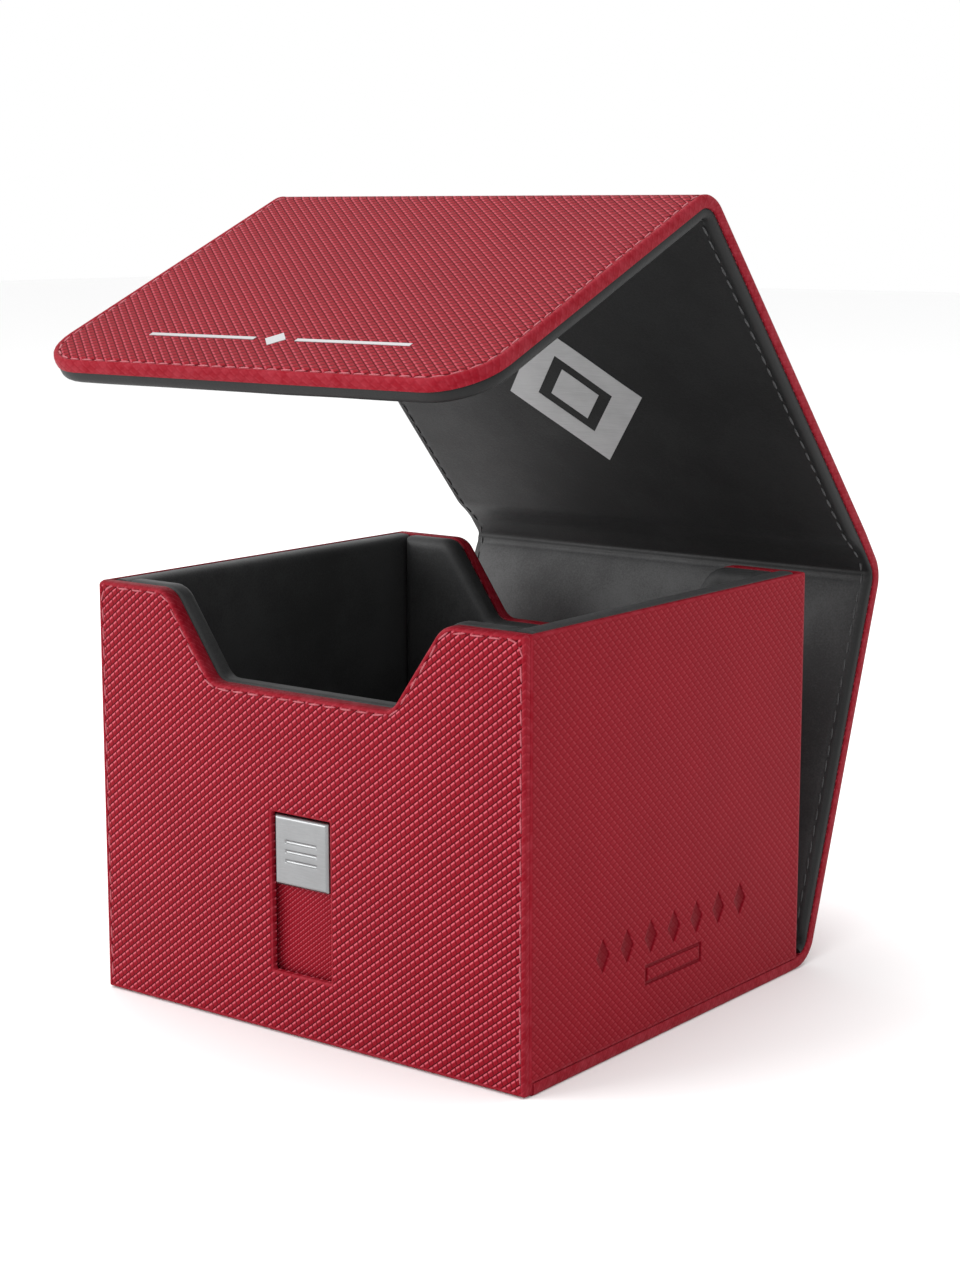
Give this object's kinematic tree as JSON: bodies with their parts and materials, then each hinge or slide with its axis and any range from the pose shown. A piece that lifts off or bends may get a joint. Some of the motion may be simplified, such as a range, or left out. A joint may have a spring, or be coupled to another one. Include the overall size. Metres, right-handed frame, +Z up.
{
  "type": "card deck box",
  "caption": "Open-top deck box for playing cards with a finger notch at each end, a padded cover that folds over the back, top and front, and a small metal slide.",
  "frame": {"origin": "middle of the box's underside, where it stands on the table", "axes": "+Z up, -Y out of the front wall that the cover's flap shuts over, +X to the right seen from the front"},
  "size_m": [0.106, 0.1438, 0.16],
  "materials": {
    "leatherette": "satin red leatherette with an embossed diagonal weave",
    "suede_padding": "charcoal microfibre suede over thin foam",
    "greyboard": "plain dense board, hidden",
    "red_thread": "red stitching thread",
    "dark_thread": "dark grey stitching thread",
    "metal": "satin, bevelled edges",
    "magnet": "plated, hidden",
    "foil": "satin silver foil"
  },
  "bodies": {
    "tray": {"base_skin": "leatherette", "base_board": "greyboard", "floor_board": "greyboard", "floor_liner": "suede_padding", "left_skin": "leatherette", "left_board": "greyboard", "left_liner": "suede_padding", "right_skin": "leatherette", "right_board": "greyboard", "right_liner": "suede_padding", "front_skin": "leatherette", "front_board": "greyboard", "front_liner": "suede_padding", "front_seam": "red_thread", "back_skin": "leatherette", "back_board": "greyboard", "back_liner": "suede_padding", "back_seam": "red_thread", "channel_strip": "leatherette"},
    "slide": {"slide_plate": "metal"},
    "back_panel": {"rear_fold": "leatherette", "back_cover_skin": "leatherette", "back_cover_board": "greyboard", "back_cover_liner": "suede_padding", "back_cover_seam": "red_thread", "back_cover_pad_seam": "dark_thread"},
    "spine": {"spine_cover_skin": "leatherette", "spine_cover_liner": "suede_padding"},
    "top_panel": {"top_cover_skin": "leatherette", "top_cover_board": "greyboard", "top_cover_liner": "suede_padding", "top_cover_seam": "red_thread", "top_cover_pad_seam": "dark_thread", "top_emblem": "foil", "front_fold": "leatherette"},
    "flap": {"flap_cover_skin": "leatherette", "flap_cover_board": "greyboard", "flap_cover_liner": "suede_padding", "flap_cover_seam": "red_thread", "flap_cover_pad_seam": "dark_thread", "flap_ornament": "foil", "flap_magnet": "magnet"}
  },
  "joints": [
    {"name": "rear_fold_hinge", "type": "hinge", "parent": "tray", "child": "back_panel", "pos_m": [0, 0.0513, 0.0028], "axis": [-1, 0, 0], "range_deg": [-18.5, 71.5]},
    {"name": "lower_crease_hinge", "type": "hinge", "parent": "back_panel", "child": "spine", "pos_m": [0, 0.07713, 0.08001], "axis": [-1, 0, 0], "range_deg": [-15.4, 57]},
    {"name": "upper_crease_hinge", "type": "hinge", "parent": "spine", "child": "top_panel", "pos_m": [0, 0.07078, 0.08799], "axis": [-1, 0, 0], "range_deg": [-14.6, 3]},
    {"name": "front_fold_hinge", "type": "hinge", "parent": "top_panel", "child": "flap", "pos_m": [0, 0.00924, 0.15755], "axis": [-1, 0, 0], "range_deg": [-18, 72]},
    {"name": "slide_travel", "type": "slide", "parent": "tray", "child": "slide", "axis": [0, 0, -1], "range_m": [0, 0.0167]}
  ]
}
